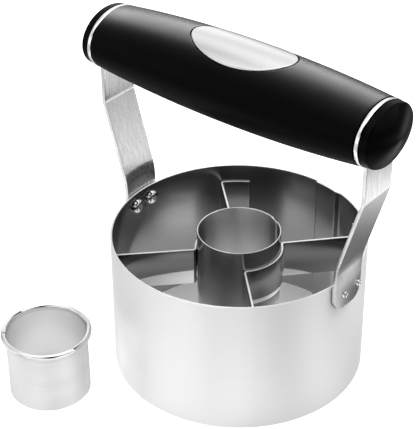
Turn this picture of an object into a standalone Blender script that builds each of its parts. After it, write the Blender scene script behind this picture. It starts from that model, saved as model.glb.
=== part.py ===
"""A doughnut cutter: a steel ring divided by two bent strips round a centre tube, carried by two
strap arms and a barrel grip, with a small loose cutter standing beside it.

Metres, +Z up, X along the grip. Everything stands on z = 0, and the whole set's box is centred
on the origin. The ring and the grip are built round the ring's own axis, and an empty moves them
into place. The small cutter is built round its own axis, which is also the line it lifts along.
"""

import math

import bmesh
import bpy
from mathutils import Matrix, Vector

# Clearance between neighbouring pieces that touch in the real object.
GAP = 0.00025

# Outer ring
RING_RADIUS = 0.045
RING_HEIGHT = 0.051
RING_WALL = 0.0008
RING_SEAM_AT = math.radians(81)
RING_SEAM_WIDTH = 0.0085
RING_SEAM_STEP = 0.0005
RING_SIDES = 96

# Centre tube
TUBE_RADIUS = 0.0147
TUBE_HEIGHT = 0.0515
TUBE_WALL = 0.0005
TUBE_SEAM_AT = math.radians(67)
TUBE_SEAM_WIDTH = 0.0028
TUBE_SEAM_STEP = 0.0004
TUBE_SIDES = 64

# Divider strips: each hugs one side of the tube and reaches the wall along two spokes.
STRIP_TOP = 0.0445
STRIP_HEIGHT = 0.0142
STRIP_THICKNESS = 0.0006
STRIP_FOLD = 0.0012
TAB_LENGTH = 0.0105
RIGHT_SPOKES_AT = (math.radians(-45), math.radians(47.2))
LEFT_SPOKES_AT = (math.radians(136.2), math.radians(225))

# Strap arms, measured on their middle surface
ARM_WIDTH = 0.0154
ARM_THICKNESS = 0.0012
ARM_FOOT_Z = 0.0412
ARM_LOW_BEND_Z = 0.0582
ARM_HIGH_BEND_Z = 0.0872
ARM_TOP_X = 0.0544
ARM_TANG_RISE = 0.0057
ARM_BEND = 0.0018
ARM_FOOT_CORNER = 0.005
ARM_TOP_CORNER = 0.002
ARM_FLATTENING = 0.011

# Rivets; the right arm's pair sits a little behind the strap's middle.
RIVET_Z = 0.0461
RIVET_PITCH = 0.0082
RIGHT_RIVETS_ASIDE = 0.0016
RIVET_SHANK = 0.0010
RIVET_HEAD = 0.0023
RIVET_HEAD_RISE = 0.0013
RIVET_TAIL = 0.0016
RIVET_TAIL_RISE = 0.0005

# Grip: heights and depths are measured from its axis.
GRIP_Z = 0.1099
GRIP_LENGTH = 0.1066
GRIP_MIDDLE_HEIGHT = 0.0140
GRIP_MIDDLE_DEPTH = 0.0158
GRIP_END_HEIGHT = 0.0108
GRIP_END_DEPTH = 0.0141
GRIP_BARREL = 2.1
GRIP_SIDES = 56
GRIP_SLICES = 18
CORE_HEIGHT = 0.0070
CORE_DEPTH = 0.0080
CORE_SIDES = 32

# Oval plate on top of the grip, its length and width measured from its middle
PLATE_LENGTH = 0.0202
PLATE_WIDTH = 0.0102
PLATE_THICKNESS = 0.0008
PLATE_PROUD = 0.0001
PLATE_X = 0.0014
PLATE_RINGS = 6
PLATE_SIDES = 40

# Trim bands
BAND_WIDTH = 0.0016
BAND_THICKNESS = 0.0009
BAND_STEPS = 44

# End caps: a side band that tapers to a crease, then a low dome.
CAP_SIDE = 0.0025
CAP_CREASE_HEIGHT = 0.0105
CAP_CREASE_DEPTH = 0.0135
CAP_DOME = 0.0038
CAP_DOME_POWER = 1.3
CAP_DOME_STATIONS = (0.12, 0.28, 0.45, 0.62, 0.78, 0.91, 0.99)
CAP_SIDES = 48
PEG_RADIUS = 0.0012
PEG_Y = 0.0109
PEG_LENGTH = 0.0050
PEG_SIDES = 12

# Screws that hold the arms to the core
SCREW_RADIUS = 0.0014
SCREW_LENGTH = 0.014
SCREW_HEAD = 0.0028
SCREW_HEAD_RISE = 0.0016
SCREW_SIDES = 16

# Small loose cutter, its place given from the ring's axis
SMALL_X = -0.0390
SMALL_Y = -0.0587
SMALL_RADIUS = 0.0142
SMALL_WALL = 0.0004
SMALL_HEIGHT = 0.0249
CURL_RADIUS = 0.0010
CURL_END = math.radians(-108)
RIM_WIRE_RADIUS = 0.00035
SMALL_SIDES = 48

# Where the two axes stand, so that the whole set's box is centred
SMALL_REACH = SMALL_RADIUS - SMALL_WALL + 2 * CURL_RADIUS
RING_Y = (SMALL_REACH - SMALL_Y - RING_RADIUS) / 2

# Sizes that follow from the ones above
STRIP_HUG_RADIUS = TUBE_RADIUS + GAP + STRIP_THICKNESS / 2
STRIP_TAB_RADIUS = RING_RADIUS - RING_WALL - GAP - STRIP_THICKNESS / 2
ARM_FOOT_RADIUS = RING_RADIUS + GAP + ARM_THICKNESS / 2
RIVETS = (
    ("right", "front", (RIGHT_RIVETS_ASIDE - RIVET_PITCH / 2) / RING_RADIUS),
    ("right", "back", (RIGHT_RIVETS_ASIDE + RIVET_PITCH / 2) / RING_RADIUS),
    ("left", "front", math.pi + RIVET_PITCH / 2 / RING_RADIUS),
    ("left", "back", math.pi - RIVET_PITCH / 2 / RING_RADIUS),
)
HALF_GRIP = GRIP_LENGTH / 2
ARM_INNER_X = ARM_TOP_X - ARM_THICKNESS / 2
ARM_OUTER_X = ARM_TOP_X + ARM_THICKNESS / 2
CORE_END_X = ARM_INNER_X - GAP
CAP_START_X = HALF_GRIP + BAND_WIDTH + 2 * GAP
CAP_CREASE_X = CAP_START_X + CAP_SIDE
HOLE_SIDES = 20
HOLE_REACH = 4 * ARM_THICKNESS
SIDES = (("right", 0), ("left", math.pi))
SHARP_ABOVE = math.radians(40)


def clear_scene():
    for obj in list(bpy.data.objects):
        bpy.data.objects.remove(obj, do_unlink=True)


def new_collection(name):
    collection = bpy.data.collections.new(name)
    bpy.context.scene.collection.children.link(collection)
    return collection


def new_material(name, colour, roughness, metallic):
    material = bpy.data.materials.new(name)
    material.use_nodes = True
    shader = material.node_tree.nodes["Principled BSDF"]
    shader.inputs["Base Color"].default_value = (*colour, 1)
    shader.inputs["Roughness"].default_value = roughness
    shader.inputs["Metallic"].default_value = metallic
    return material


clear_scene()
PARTS = new_collection("doughnut_cutter")
CUTTERS = new_collection("cutting_shapes")
SATIN_STEEL = new_material("satin_steel", (0.80, 0.80, 0.80), 0.28, 1.0)
MIRROR_STEEL = new_material("mirror_steel", (0.66, 0.66, 0.66), 0.12, 1.0)
BRUSHED_STEEL = new_material("brushed_steel", (0.70, 0.70, 0.69), 0.36, 1.0)
BRIGHT_TRIM = new_material("bright_trim", (0.86, 0.86, 0.86), 0.14, 1.0)
SOFT_BLACK = new_material("soft_black", (0.012, 0.012, 0.013), 0.46, 0.0)
GLOSS_BLACK = new_material("gloss_black", (0.009, 0.009, 0.010), 0.22, 0.0)
CORE_PLASTIC = new_material("core_plastic", (0.04, 0.04, 0.045), 0.5, 0.0)


def add_axis(name, x, y):
    """An empty on a vertical axis, which the pieces round that axis hang from."""
    empty = bpy.data.objects.new(name, None)
    empty.location = (x, y, 0)
    PARTS.objects.link(empty)
    return empty


RING_AXIS = add_axis("ring_axis", 0, RING_Y)
SMALL_AXIS = add_axis("small_cutter_axis", SMALL_X, RING_Y + SMALL_Y)


def add_piece(name, mesh, material, axis=RING_AXIS):
    """A sub-part: the mesh as an object of that name, with its material, on its axis."""
    piece = bpy.data.objects.new(name, mesh)
    piece.parent = axis
    if material.name not in mesh.materials:
        mesh.materials.append(material)
    PARTS.objects.link(piece)
    mesh.shade_smooth()
    mesh.set_sharp_from_angle(angle=SHARP_ABOVE)
    return piece


def add_cutter(name, mesh, axis=RING_AXIS):
    cutter = bpy.data.objects.new(name, mesh)
    cutter.parent = axis
    cutter.hide_render = True
    cutter.display_type = "WIRE"
    CUTTERS.objects.link(cutter)
    return cutter


def combine(piece, cutter, operation="DIFFERENCE"):
    boolean = piece.modifiers.new(cutter.name, "BOOLEAN")
    boolean.operation = operation
    boolean.solver = "EXACT"
    boolean.object = cutter


def solidify(piece, thickness, offset):
    shell = piece.modifiers.new("thickness", "SOLIDIFY")
    shell.thickness = thickness
    shell.offset = offset
    shell.use_even_offset = True


def screw(piece, sides):
    """Turns the piece's profile once round Z."""
    turn = piece.modifiers.new("turn", "SCREW")
    turn.angle = math.tau
    turn.steps = sides
    turn.render_steps = sides
    turn.use_merge_vertices = True
    turn.merge_threshold = 0.00001


def polar(radius, angle):
    return Vector((radius * math.cos(angle), radius * math.sin(angle)))


def arc_points(radius, start, end, steps, centre=(0, 0)):
    """Points along an arc, both ends included."""
    middle = Vector(centre)
    return [middle + polar(radius, start + (end - start) * step / steps) for step in range(steps + 1)]


def line_mesh(name, points, closed=False):
    """A mesh of one line through the points."""
    mesh = bpy.data.meshes.new(name)
    edges = [(number, number + 1) for number in range(len(points) - 1)]
    if closed:
        edges.append((len(points) - 1, 0))
    mesh.from_pydata([tuple(point) for point in points], edges, [])
    return mesh


def profile_mesh(name, points, closed=False):
    """A profile for turning: (radius, height) points in the XZ plane."""
    return line_mesh(name, [(radius, 0, height) for radius, height in points], closed)


def outline_mesh(name, outlines, height):
    """A flat outline, with the holes that further outlines make, raised from z = 0 to the height."""
    curve = bpy.data.curves.new(name, "CURVE")
    curve.dimensions = "2D"
    curve.fill_mode = "BOTH"
    curve.extrude = height / 2
    for outline in outlines:
        spline = curve.splines.new("POLY")
        spline.points.add(len(outline) - 1)
        for point, place in zip(spline.points, outline):
            point.co = (place[0], place[1], 0, 1)
        spline.use_cyclic_u = True
    drawing = bpy.data.objects.new(name + "_outline", curve)
    bpy.context.scene.collection.objects.link(drawing)
    view = bpy.context.evaluated_depsgraph_get()
    mesh = bpy.data.meshes.new_from_object(drawing.evaluated_get(view))
    mesh.name = name
    bpy.data.objects.remove(drawing, do_unlink=True)
    form = bmesh.new()
    form.from_mesh(mesh)
    bmesh.ops.remove_doubles(form, verts=form.verts, dist=0.000001)
    bmesh.ops.translate(form, verts=form.verts, vec=(0, 0, height / 2))
    bmesh.ops.recalc_face_normals(form, faces=form.faces)
    form.to_mesh(mesh)
    form.free()
    return mesh


def cylinder_mesh(name, radius, start, end, sides=HOLE_SIDES):
    """A cylinder along Z from start to end."""
    mesh = bpy.data.meshes.new(name)
    form = bmesh.new()
    bmesh.ops.create_cone(
        form, cap_ends=True, segments=sides, radius1=radius, radius2=radius, depth=end - start
    )
    bmesh.ops.translate(form, verts=form.verts, vec=(0, 0, (start + end) / 2))
    form.to_mesh(mesh)
    form.free()
    return mesh


def lapped_tube(name, radius, wall, height, seam, seam_width, seam_step, sides):
    """A rolled tube whose ends lap: inside, the wall is thicker by the step over the seam's width."""
    outer = arc_points(radius, 0, math.tau, sides)[:-1]
    inside = radius - wall
    half = seam_width / 2 / inside
    plain = arc_points(inside, seam + half, seam - half + math.tau, sides - 2)
    lap = arc_points(inside - seam_step, seam - half, seam + half, 4)
    return outline_mesh(name, [outer, plain + lap], height)


def fold_points(before, corner, after, steps=4):
    """A rounded corner from the point before it to the point after it."""
    points = []
    for step in range(steps + 1):
        t = step / steps
        points.append(before * (1 - t) ** 2 + corner * (2 * t * (1 - t)) + after * t**2)
    return points


def spoke_points(angle, way):
    """From the tube outward: the bend off the tube, the spoke, the fold and the tab, turned one way."""
    at_tube = angle - way * STRIP_FOLD / STRIP_HUG_RADIUS
    at_wall = angle + way * STRIP_FOLD / STRIP_TAB_RADIUS
    tab_end = angle + way * TAB_LENGTH / STRIP_TAB_RADIUS
    hugging = polar(STRIP_HUG_RADIUS, at_tube)
    leaving = polar(STRIP_HUG_RADIUS + STRIP_FOLD, angle)
    reaching = polar(STRIP_TAB_RADIUS - STRIP_FOLD, angle)
    points = fold_points(hugging, polar(STRIP_HUG_RADIUS, angle), leaving)
    points += fold_points(reaching, polar(STRIP_TAB_RADIUS, angle), polar(STRIP_TAB_RADIUS, at_wall))
    return points + arc_points(STRIP_TAB_RADIUS, at_wall, tab_end, 5)[1:]


def strip_path(first, last):
    """A strip from above, tab to tab, with its two spokes at the angles given."""
    fold = STRIP_FOLD / STRIP_HUG_RADIUS
    round_tube = arc_points(STRIP_HUG_RADIUS, first + fold, last - fold, 14)[1:-1]
    return spoke_points(first, -1)[::-1] + round_tube + spoke_points(last, 1)


def raised_line(name, points, rise):
    """The points joined by a line, drawn out along the rise into an open surface."""
    mesh = line_mesh(name, points)
    form = bmesh.new()
    form.from_mesh(mesh)
    drawn = bmesh.ops.extrude_edge_only(form, edges=form.edges[:])
    moved = [part for part in drawn["geom"] if isinstance(part, bmesh.types.BMVert)]
    bmesh.ops.translate(form, verts=moved, vec=rise)
    bmesh.ops.recalc_face_normals(form, faces=form.faces)
    form.to_mesh(mesh)
    form.free()
    return mesh


def radial_matrix(angle, radius, z):
    """Local Z out along a radius of the ring, local X level."""
    turn = Matrix.Rotation(angle, 4, "Z") @ Matrix.Rotation(math.pi / 2, 4, "Y")
    return Matrix.Translation((*polar(radius, angle), z)) @ turn


def arm_line():
    """The arm's middle line in the XZ plane, foot to tang, its two bends rounded."""
    foot = Vector((ARM_FOOT_RADIUS, ARM_FOOT_Z))
    low = Vector((ARM_FOOT_RADIUS, ARM_LOW_BEND_Z))
    high = Vector((ARM_TOP_X, ARM_HIGH_BEND_Z))
    top = Vector((ARM_TOP_X, GRIP_Z + ARM_TANG_RISE))
    slope = (high - low).normalized()
    rise = Vector((0, 1))
    points = [foot + rise * ARM_FOOT_CORNER * (1 - math.sin(angle)) for angle in quarter(5)]
    points.append((points[-1] + low) / 2)
    points += fold_points(low - rise * ARM_BEND, low, low + slope * ARM_BEND)
    points += [low + slope * (ARM_BEND + ARM_FLATTENING * step / 3) for step in (1, 2, 3)]
    points += fold_points(high - slope * ARM_BEND, high, high + rise * ARM_BEND)
    points += [top - rise * ARM_TOP_CORNER * (1 - math.sin(angle)) for angle in reversed(quarter(3))]
    return points


def corner_inset(distance, corner):
    """How far a rounded corner draws the edge in, at a distance from the strap's end."""
    left = min(corner, max(0, corner - distance))
    return corner - math.sqrt(corner**2 - left**2)


def arm_mesh():
    """The +X strap as an open surface: its foot follows the ring, and it flattens above the low bend."""
    line = arm_line()
    columns = 8
    form = bmesh.new()
    bmesh.ops.create_grid(form, x_segments=columns, y_segments=len(line) - 1, size=0.5)
    for vert in form.verts:
        across = vert.co.x * 2
        row = round((vert.co.y + 0.5) * (len(line) - 1))
        x, z = line[row]
        inset = corner_inset(z - ARM_FOOT_Z, ARM_FOOT_CORNER)
        inset += corner_inset(GRIP_Z + ARM_TANG_RISE - z, ARM_TOP_CORNER)
        y = across * (ARM_WIDTH / 2 - inset)
        wrapped = ARM_FOOT_RADIUS - math.sqrt(ARM_FOOT_RADIUS**2 - y**2)
        flat = min(1, max(0, (z - ARM_LOW_BEND_Z) / ARM_FLATTENING))
        vert.co = (x - wrapped * (1 - flat), y, z)
    bmesh.ops.recalc_face_normals(form, faces=form.faces)
    mesh = bpy.data.meshes.new("arm")
    form.to_mesh(mesh)
    form.free()
    return mesh


def rivet_profile():
    """A rivet on Z, which points out of the ring: tail on top, domed head below."""
    tail_seat = RING_RADIUS + ARM_THICKNESS + 2 * GAP
    head_seat = RING_RADIUS - RING_WALL - GAP
    tail = [(RIVET_TAIL * math.cos(a), tail_seat + RIVET_TAIL_RISE * math.sin(a)) for a in quarter(3)]
    head = [(RIVET_HEAD * math.cos(a), head_seat - RIVET_HEAD_RISE * math.sin(a)) for a in quarter(5)]
    return tail + [(RIVET_SHANK, tail_seat), (RIVET_SHANK, head_seat)] + head[::-1]


def quarter(steps):
    """Angles from upright down to level."""
    return [math.pi / 2 * (1 - step / steps) for step in range(steps + 1)]


def section_at(x):
    """Depth and height of the grip's oval at x."""
    share = min(1, abs(x) / HALF_GRIP) ** GRIP_BARREL
    depth = GRIP_MIDDLE_DEPTH + (GRIP_END_DEPTH - GRIP_MIDDLE_DEPTH) * share
    height = GRIP_MIDDLE_HEIGHT + (GRIP_END_HEIGHT - GRIP_MIDDLE_HEIGHT) * share
    return depth, height


def cap_section_at(x):
    """Depth and height of the end cap's oval at x: the side band tapers, then the dome closes."""
    if x <= CAP_CREASE_X:
        share = (x - HALF_GRIP) / (CAP_CREASE_X - HALF_GRIP)
        depth = GRIP_END_DEPTH + (CAP_CREASE_DEPTH - GRIP_END_DEPTH) * share
        height = GRIP_END_HEIGHT + (CAP_CREASE_HEIGHT - GRIP_END_HEIGHT) * share
        return depth, height
    left = max(0, 1 - (x - CAP_CREASE_X) / CAP_DOME) ** (1 / CAP_DOME_POWER)
    return CAP_CREASE_DEPTH * left, CAP_CREASE_HEIGHT * left


def oval_bar(name, stations, section, sides):
    """A closed bar along X at the grip's height, whose oval section is given at each station."""
    form = bmesh.new()
    bmesh.ops.create_cone(form, cap_ends=True, segments=sides, radius1=1, radius2=1, depth=1)
    slices = len(stations) - 1
    for number in range(1, slices):
        plane = Vector((0, 0, number / slices - 0.5))
        everything = form.verts[:] + form.edges[:] + form.faces[:]
        bmesh.ops.bisect_plane(form, geom=everything, plane_co=plane, plane_no=(0, 0, 1), dist=0.0001)
    for vert in form.verts:
        x = stations[round((vert.co.z + 0.5) * slices)]
        depth, height = section(x)
        vert.co = (x, depth * vert.co.x, GRIP_Z + height * vert.co.y)
    bmesh.ops.recalc_face_normals(form, faces=form.faces)
    mesh = bpy.data.meshes.new(name)
    form.to_mesh(mesh)
    form.free()
    return mesh


def even_stations(start, end, count):
    return [start + (end - start) * number / count for number in range(count + 1)]


def plate_block(name, length, width, low, high):
    """An oval block that follows the grip's top surface, from low to high above it, with upright sides."""
    form = bmesh.new()
    bmesh.ops.create_circle(form, cap_ends=True, radius=1, segments=PLATE_SIDES)
    for _ in range(PLATE_RINGS - 1):
        middle = [face for face in form.faces if len(face.verts) == PLATE_SIDES]
        bmesh.ops.inset_region(
            form, faces=middle, thickness=1 / PLATE_RINGS, use_boundary=True, use_even_offset=False
        )
    bmesh.ops.poke(form, faces=[face for face in form.faces if len(face.verts) == PLATE_SIDES])
    for vert in form.verts:
        x = PLATE_X + length * vert.co.x
        y = width * vert.co.y
        depth, height = section_at(x)
        vert.co = (x, y, GRIP_Z + height * math.sqrt(1 - (y / depth) ** 2) + low)
    raised = bmesh.ops.extrude_face_region(form, geom=form.faces[:], use_keep_orig=True)
    moved = [part for part in raised["geom"] if isinstance(part, bmesh.types.BMVert)]
    bmesh.ops.translate(form, verts=moved, vec=(0, 0, high - low))
    bmesh.ops.recalc_face_normals(form, faces=form.faces)
    mesh = bpy.data.meshes.new(name)
    form.to_mesh(mesh)
    form.free()
    return mesh


def make_ring():
    mesh = lapped_tube(
        "ring_wall",
        RING_RADIUS,
        RING_WALL,
        RING_HEIGHT,
        RING_SEAM_AT,
        RING_SEAM_WIDTH,
        RING_SEAM_STEP,
        RING_SIDES,
    )
    return add_piece("ring_wall", mesh, SATIN_STEEL)


def make_tube():
    mesh = lapped_tube(
        "centre_tube",
        TUBE_RADIUS,
        TUBE_WALL,
        TUBE_HEIGHT,
        TUBE_SEAM_AT,
        TUBE_SEAM_WIDTH,
        TUBE_SEAM_STEP,
        TUBE_SIDES,
    )
    add_piece("centre_tube", mesh, MIRROR_STEEL)


def make_strips():
    bottom = STRIP_TOP - STRIP_HEIGHT
    for side, spokes in (("right", RIGHT_SPOKES_AT), ("left", LEFT_SPOKES_AT)):
        path = [(point.x, point.y, bottom) for point in strip_path(*spokes)]
        mesh = raised_line("divider_strip_" + side, path, (0, 0, STRIP_HEIGHT))
        strip = add_piece("divider_strip_" + side, mesh, MIRROR_STEEL)
        solidify(strip, STRIP_THICKNESS, 0)


def make_arms():
    """The two straps, each with the hole for the screw that holds it to the core."""
    mesh = arm_mesh()
    hole = cylinder_mesh("screw_hole", SCREW_RADIUS + GAP, -HOLE_REACH, HOLE_REACH)
    arms = {}
    for side, turn in SIDES:
        arm = add_piece("arm_" + side, mesh, BRUSHED_STEEL)
        arm.rotation_euler.z = turn
        solidify(arm, ARM_THICKNESS, 0)
        cutter = add_cutter("screw_hole_" + side, hole)
        cutter.matrix_local = radial_matrix(turn, ARM_TOP_X, GRIP_Z)
        combine(arm, cutter)
        arms[side] = arm
    return arms


def make_rivets(ring, arms):
    """The four rivets, and their holes through the straps' feet and the ring's wall."""
    hole = cylinder_mesh("rivet_hole", RIVET_SHANK + GAP, -HOLE_REACH, HOLE_REACH)
    mesh = profile_mesh("rivet", rivet_profile())
    for side, place, angle in RIVETS:
        cutter = add_cutter("rivet_hole_" + side + "_" + place, hole)
        cutter.matrix_local = radial_matrix(angle, RING_RADIUS, RIVET_Z)
        combine(arms[side], cutter)
        combine(ring, cutter)
        rivet = add_piece("rivet_" + side + "_" + place, mesh, MIRROR_STEEL)
        rivet.matrix_local = radial_matrix(angle, 0, RIVET_Z)
        screw(rivet, HOLE_SIDES)


def make_skin():
    """The soft skin, open at both ends for the core, with the recess for the plate."""
    stations = even_stations(-HALF_GRIP, HALF_GRIP, GRIP_SLICES)
    skin = add_piece("grip_skin", oval_bar("grip_skin", stations, section_at, GRIP_SIDES), SOFT_BLACK)
    bore_ends = [-2 * HALF_GRIP, 2 * HALF_GRIP]
    bore = oval_bar("core_bore", bore_ends, lambda x: (CORE_DEPTH + GAP, CORE_HEIGHT + GAP), CORE_SIDES)
    combine(skin, add_cutter("core_bore", bore))
    under = PLATE_PROUD - PLATE_THICKNESS
    recess = plate_block(
        "plate_recess", PLATE_LENGTH + GAP, PLATE_WIDTH + GAP, under - GAP, PLATE_THICKNESS
    )
    combine(skin, add_cutter("plate_recess", recess))
    plate = plate_block("oval_plate", PLATE_LENGTH, PLATE_WIDTH, under, PLATE_PROUD)
    add_piece("oval_plate", plate, BRIGHT_TRIM)
    return skin


def make_core():
    """The hard core between the two arms, with a bore in each end for the arm's screw."""
    ends = [-CORE_END_X, CORE_END_X]
    mesh = oval_bar("grip_core", ends, lambda x: (CORE_DEPTH, CORE_HEIGHT), CORE_SIDES)
    core = add_piece("grip_core", mesh, CORE_PLASTIC)
    bore = cylinder_mesh("screw_bore", SCREW_RADIUS + GAP, -SCREW_LENGTH - GAP, SCREW_LENGTH)
    for side, turn in SIDES:
        cutter = add_cutter("screw_bore_" + side, bore)
        cutter.matrix_local = radial_matrix(turn, ARM_OUTER_X, GRIP_Z)
        combine(core, cutter)


def band_points():
    """The open oval of a trim band seen along X. Its ends lean inward and still clear the arm."""
    depth = GRIP_END_DEPTH
    height = GRIP_END_HEIGHT
    opening = math.asin((ARM_WIDTH / 2 + GAP + BAND_THICKNESS) / depth)
    start = -math.pi / 2 + opening
    sweep = math.tau - 2 * opening
    points = []
    for step in range(BAND_STEPS + 1):
        angle = start + sweep * step / BAND_STEPS
        points.append((HALF_GRIP + GAP, depth * math.cos(angle), GRIP_Z + height * math.sin(angle)))
    return points


def make_bands():
    mesh = raised_line("trim_band", band_points(), (BAND_WIDTH, 0, 0))
    for side, turn in SIDES:
        band = add_piece("trim_band_" + side, mesh, BRIGHT_TRIM)
        band.rotation_euler.z = turn
        solidify(band, BAND_THICKNESS, -1)


def make_caps(skin):
    """Solid caps, each with a pocket for the screw's head and two pegs that reach into the skin."""
    stations = [CAP_START_X, CAP_CREASE_X]
    stations += [CAP_CREASE_X + CAP_DOME * share for share in CAP_DOME_STATIONS]
    mesh = oval_bar("end_cap", stations, cap_section_at, CAP_SIDES)
    peg = cylinder_mesh("peg", PEG_RADIUS, -PEG_LENGTH, CAP_START_X - HALF_GRIP + PEG_RADIUS, PEG_SIDES)
    peg_hole = cylinder_mesh("peg_hole", PEG_RADIUS + GAP, -PEG_LENGTH - GAP, PEG_LENGTH)
    pocket = cylinder_mesh("screw_pocket", SCREW_HEAD + 2 * GAP, -GAP, SCREW_HEAD_RISE + 4 * GAP)
    for side, turn in SIDES:
        cap = add_piece("end_cap_" + side, mesh, GLOSS_BLACK)
        cap.rotation_euler.z = turn
        for place, y in (("front", -PEG_Y), ("back", PEG_Y)):
            form = add_cutter("peg_" + side + "_" + place, peg)
            cutter = add_cutter("peg_hole_" + side + "_" + place, peg_hole)
            for piece in (form, cutter):
                piece.matrix_local = radial_matrix(turn, HALF_GRIP, GRIP_Z)
                piece.location.y += y
            combine(cap, form, "UNION")
            combine(skin, cutter)
        cutter = add_cutter("screw_pocket_" + side, pocket)
        cutter.matrix_local = radial_matrix(turn, ARM_OUTER_X, GRIP_Z)
        combine(cap, cutter)


def screw_profile():
    """A pan-headed screw on Z, head on top, its head's underside at z = 0."""
    half = SCREW_HEAD_RISE / 2
    head = [(SCREW_HEAD * math.cos(a), half + half * math.sin(a)) for a in quarter(4)]
    shank = [(SCREW_HEAD, 0), (SCREW_RADIUS, 0), (SCREW_RADIUS, SCREW_RADIUS - SCREW_LENGTH)]
    return head + shank + [(0, -SCREW_LENGTH)]


def make_screws():
    mesh = profile_mesh("arm_screw", screw_profile())
    for side, turn in SIDES:
        piece = add_piece("arm_screw_" + side, mesh, SATIN_STEEL)
        piece.matrix_local = radial_matrix(turn, ARM_OUTER_X + GAP, GRIP_Z)
        screw(piece, SCREW_SIDES)


def small_wall_profile():
    """The small cutter's wall and its curled rim as one closed profile."""
    inside = SMALL_RADIUS - SMALL_WALL
    centre = (inside + CURL_RADIUS, SMALL_HEIGHT - CURL_RADIUS)
    outer_curl = arc_points(CURL_RADIUS, math.pi, CURL_END, 12, centre)
    inner_curl = arc_points(CURL_RADIUS - SMALL_WALL, CURL_END, math.pi, 8, centre)
    return [(inside, 0)] + outer_curl + inner_curl + [(SMALL_RADIUS, 0)]


def make_small_cutter():
    mesh = profile_mesh("small_cutter", small_wall_profile(), closed=True)
    wall = add_piece("small_cutter", mesh, SATIN_STEEL, SMALL_AXIS)
    screw(wall, SMALL_SIDES)
    major = SMALL_RADIUS - SMALL_WALL + CURL_RADIUS
    section = arc_points(RIM_WIRE_RADIUS, math.pi, -math.pi, 8, (major, 0))[:-1]
    mesh = profile_mesh("small_cutter_wire", section, closed=True)
    wire = add_piece("small_cutter_wire", mesh, SATIN_STEEL, SMALL_AXIS)
    wire.location.z = SMALL_HEIGHT - CURL_RADIUS
    screw(wire, SMALL_SIDES)


make_rivets(make_ring(), make_arms())
make_tube()
make_strips()
make_core()
make_bands()
make_caps(make_skin())
make_screws()
make_small_cutter()
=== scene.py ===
import math

import bmesh
import bpy
from mathutils import Matrix, Vector


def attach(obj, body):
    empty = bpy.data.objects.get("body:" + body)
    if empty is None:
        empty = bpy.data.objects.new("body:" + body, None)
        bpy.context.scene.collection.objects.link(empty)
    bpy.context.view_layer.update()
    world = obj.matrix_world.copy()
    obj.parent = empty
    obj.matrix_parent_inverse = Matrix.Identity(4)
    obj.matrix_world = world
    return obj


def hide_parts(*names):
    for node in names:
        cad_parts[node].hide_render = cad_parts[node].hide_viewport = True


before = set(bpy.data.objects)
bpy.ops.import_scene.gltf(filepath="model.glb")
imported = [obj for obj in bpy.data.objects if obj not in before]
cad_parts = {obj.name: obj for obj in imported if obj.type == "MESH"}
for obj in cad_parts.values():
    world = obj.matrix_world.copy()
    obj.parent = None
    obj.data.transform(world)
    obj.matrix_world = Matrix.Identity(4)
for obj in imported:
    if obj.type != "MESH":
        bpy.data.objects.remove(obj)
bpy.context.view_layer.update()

# Lengths are in metres. X runs along the grip and Z is up.

# The ring's axis, and the small cutter's
RING_Y = 0.01475
SMALL_X = -0.0390
SMALL_Y = -0.04395
RING_CENTRE = (0, RING_Y, 0)
SMALL_CENTRE = (SMALL_X, SMALL_Y, 0)

# Points closer together than this become one, with a wider reach on the strips
MERGE_DISTANCE = 0.0000005
STRIP_MERGE_DISTANCE = 0.000001
# Points closer than this to a cut lie on it
CUT_TOLERANCE = 0.0000001
# Points closer than this to a height or a radius count as there
NEAR = 0.00001

# How squarely a face has to look at the axis to be an inner one
INNER_FACING = 0.3

# Outer ring. A seam is its panel's width, its lap, its joggle's width and the sheet's step.
RING_RADIUS = 0.045
RING_HEIGHT = 0.051
RING_WALL = 0.0008
RING_EDGE = 0.00022
RING_STEPS = 240
RING_SEAM_AT = math.radians(81)
RING_SEAM = (0.0094, 0.0028, 0.0034, 0.0008)

# Centre tube
TUBE_RADIUS = 0.0147
TUBE_HEIGHT = 0.0515
TUBE_WALL = 0.0004
TUBE_EDGE = 0.00014
TUBE_STEPS = 144
TUBE_SEAM_AT = math.radians(67)
TUBE_SEAM = (0.0030, 0.0010, 0.0012, 0.0004)

# How far the rounding of a seam's end reaches, for each unit of the step
SEAM_ROUNDING = 0.6
# How much of the step a seam's end has at its very edge
SEAM_FIRST_STEP = 0.25

# Divider strips, with the radii of their middle surface at the tube and at the wall
STRIP_TOP = 0.0445
STRIP_HEIGHT = 0.0142
STRIP_THICKNESS = 0.0006
STRIP_EDGE = 0.00014
STRIP_HUG = 0.01525
STRIP_AT_WALL = 0.04365
STRIP_FOLD = 0.0015
STRIP_HUG_STEPS = 24
TAB_STEPS = 8
TAB_LENGTH = 0.0105
SHORT_TAB_LENGTH = 0.0082
RIGHT_SPOKES = (math.radians(-45), math.radians(47.2))
LEFT_SPOKES = (math.radians(136.2), math.radians(225))

# Strap arms, on their middle surface. A bend's reach is how far its rounding runs to each side.
ARM_WIDTH = 0.0154
ARM_THICKNESS = 0.0012
ARM_EDGE = 0.00022
ARM_FOOT_RADIUS = 0.04585
ARM_FOOT_Z = 0.0412
ARM_LOW_BEND_Z = 0.0582
ARM_HIGH_BEND_Z = 0.0872
ARM_TOP_X = 0.0544
ARM_TOP_Z = 0.1156
ARM_BEND_REACHES = (0.0024, 0.0007)
ARM_FOOT_CORNER = 0.005
ARM_TOP_CORNER = 0.002
ARM_LANES = 16

# Height over which the wrapped foot turns into a flat strap, and its cuts
ARM_FLATTENING = 0.011
FLATTENING_STEPS = 12

# Rivets, with their angles round the ring in radians
RIVET_Z = 0.0461
RIVET_ANGLES = {
    "right_front": -0.05556,
    "right_back": 0.12667,
    "left_front": math.pi + 0.09111,
    "left_back": math.pi - 0.09111,
}
RIVET_SHANK = 0.0010
RIVET_STEPS = 40
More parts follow.
